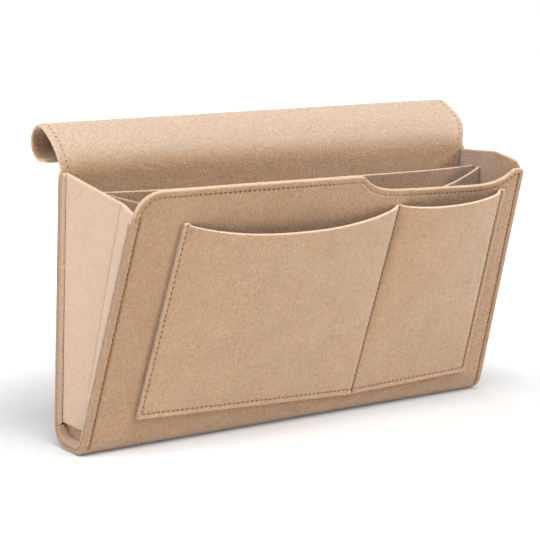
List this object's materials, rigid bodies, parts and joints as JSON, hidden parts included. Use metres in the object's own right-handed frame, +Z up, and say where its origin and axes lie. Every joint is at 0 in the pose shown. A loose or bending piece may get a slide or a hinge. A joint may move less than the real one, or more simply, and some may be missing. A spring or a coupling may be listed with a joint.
{
  "type": "bedside caddy",
  "caption": "Soft felt bedside caddy with a tuck-in flap, an open top with inner dividers, side gussets and scooped pockets on its leaning front.",
  "frame": {"origin": "middle of the flat strip of felt that the caddy stands on", "axes": "+X along the caddy's length to the right as seen from the room, +Y from the front to the back, +Z up"},
  "size_m": [0.334, 0.1297, 0.2073],
  "materials": {
    "wrap_felt": "thick matt felt",
    "gusset_felt": "thick matt felt",
    "pocket_felt": "matt felt",
    "divider_felt": "matt felt",
    "thread": "spun sewing thread"
  },
  "bodies": {
    "back_body": {"bottom_fold": "wrap_felt", "back_panel": "wrap_felt", "left_gusset": "gusset_felt", "right_gusset": "gusset_felt", "left_back_seam": "thread", "right_back_seam": "thread"},
    "front_body": {"front_panel": "wrap_felt", "pocket_panel": "pocket_felt", "left_front_seam": "thread", "right_front_seam": "thread", "front_top_hem": "thread", "pocket_left_seam": "thread", "pocket_split_seam": "thread", "pocket_right_seam": "thread", "pocket_foot_seam": "thread"},
    "rear_divider_body": {"rear_divider": "divider_felt"},
    "front_divider_body": {"front_divider": "divider_felt"},
    "flap_rise_body": {"flap_rise": "wrap_felt", "flap_rise_left_hem": "thread", "flap_rise_right_hem": "thread"},
    "flap_crown_body": {"flap_crown": "wrap_felt", "flap_crown_left_hem": "thread", "flap_crown_right_hem": "thread"},
    "flap_heel_body": {"flap_heel": "wrap_felt", "flap_heel_left_hem": "thread", "flap_heel_right_hem": "thread"},
    "flap_tip_body": {"flap_tip": "wrap_felt", "flap_tip_left_hem": "thread", "flap_tip_right_hem": "thread"}
  },
  "joints": [
    {"name": "front_swing", "type": "hinge", "parent": "back_body", "child": "front_body", "pos_m": [0, -0.012, 0.005], "axis": [-1, 0, 0], "range_deg": [0, 10], "deforming": ["left_gusset", "right_gusset"]},
    {"name": "rear_divider_swing", "type": "hinge", "parent": "back_body", "child": "rear_divider_body", "pos_m": [0, 0.0063, 0.00364], "axis": [-1, 0, 0], "range_deg": [0, 3]},
    {"name": "front_divider_swing", "type": "hinge", "parent": "back_body", "child": "front_divider_body", "pos_m": [0, -0.0047, 0.00365], "axis": [-1, 0, 0], "range_deg": [0, 5]},
    {"name": "flap_bend", "type": "hinge", "parent": "back_body", "child": "flap_rise_body", "pos_m": [0, 0.0209, 0.177], "axis": [-1, 0, 0], "range_deg": [-20, 70], "stiffness_Nm_per_rad": 0.3},
    {"name": "flap_curl", "type": "hinge", "parent": "flap_rise_body", "child": "flap_crown_body", "pos_m": [0, 0.03735, 0.20282], "axis": [1, 0, 0], "range_deg": [-8, 65], "stiffness_Nm_per_rad": 0.05},
    {"name": "heel_curl", "type": "hinge", "parent": "flap_crown_body", "child": "flap_heel_body", "pos_m": [0, 0.05023, 0.20263], "axis": [1, 0, 0], "range_deg": [-8, 65]},
    {"name": "tip_curl", "type": "hinge", "parent": "flap_heel_body", "child": "flap_tip_body", "pos_m": [0, 0.0541, 0.19035], "axis": [1, 0, 0], "range_deg": [-8, 65]}
  ],
  "couplings": [
    {"joint": "rear_divider_swing", "follows": "front_swing", "ratio": 0.25},
    {"joint": "front_divider_swing", "follows": "front_swing", "ratio": 0.47},
    {"joint": "heel_curl", "follows": "flap_curl", "ratio": 1},
    {"joint": "tip_curl", "follows": "flap_curl", "ratio": 1}
  ]
}
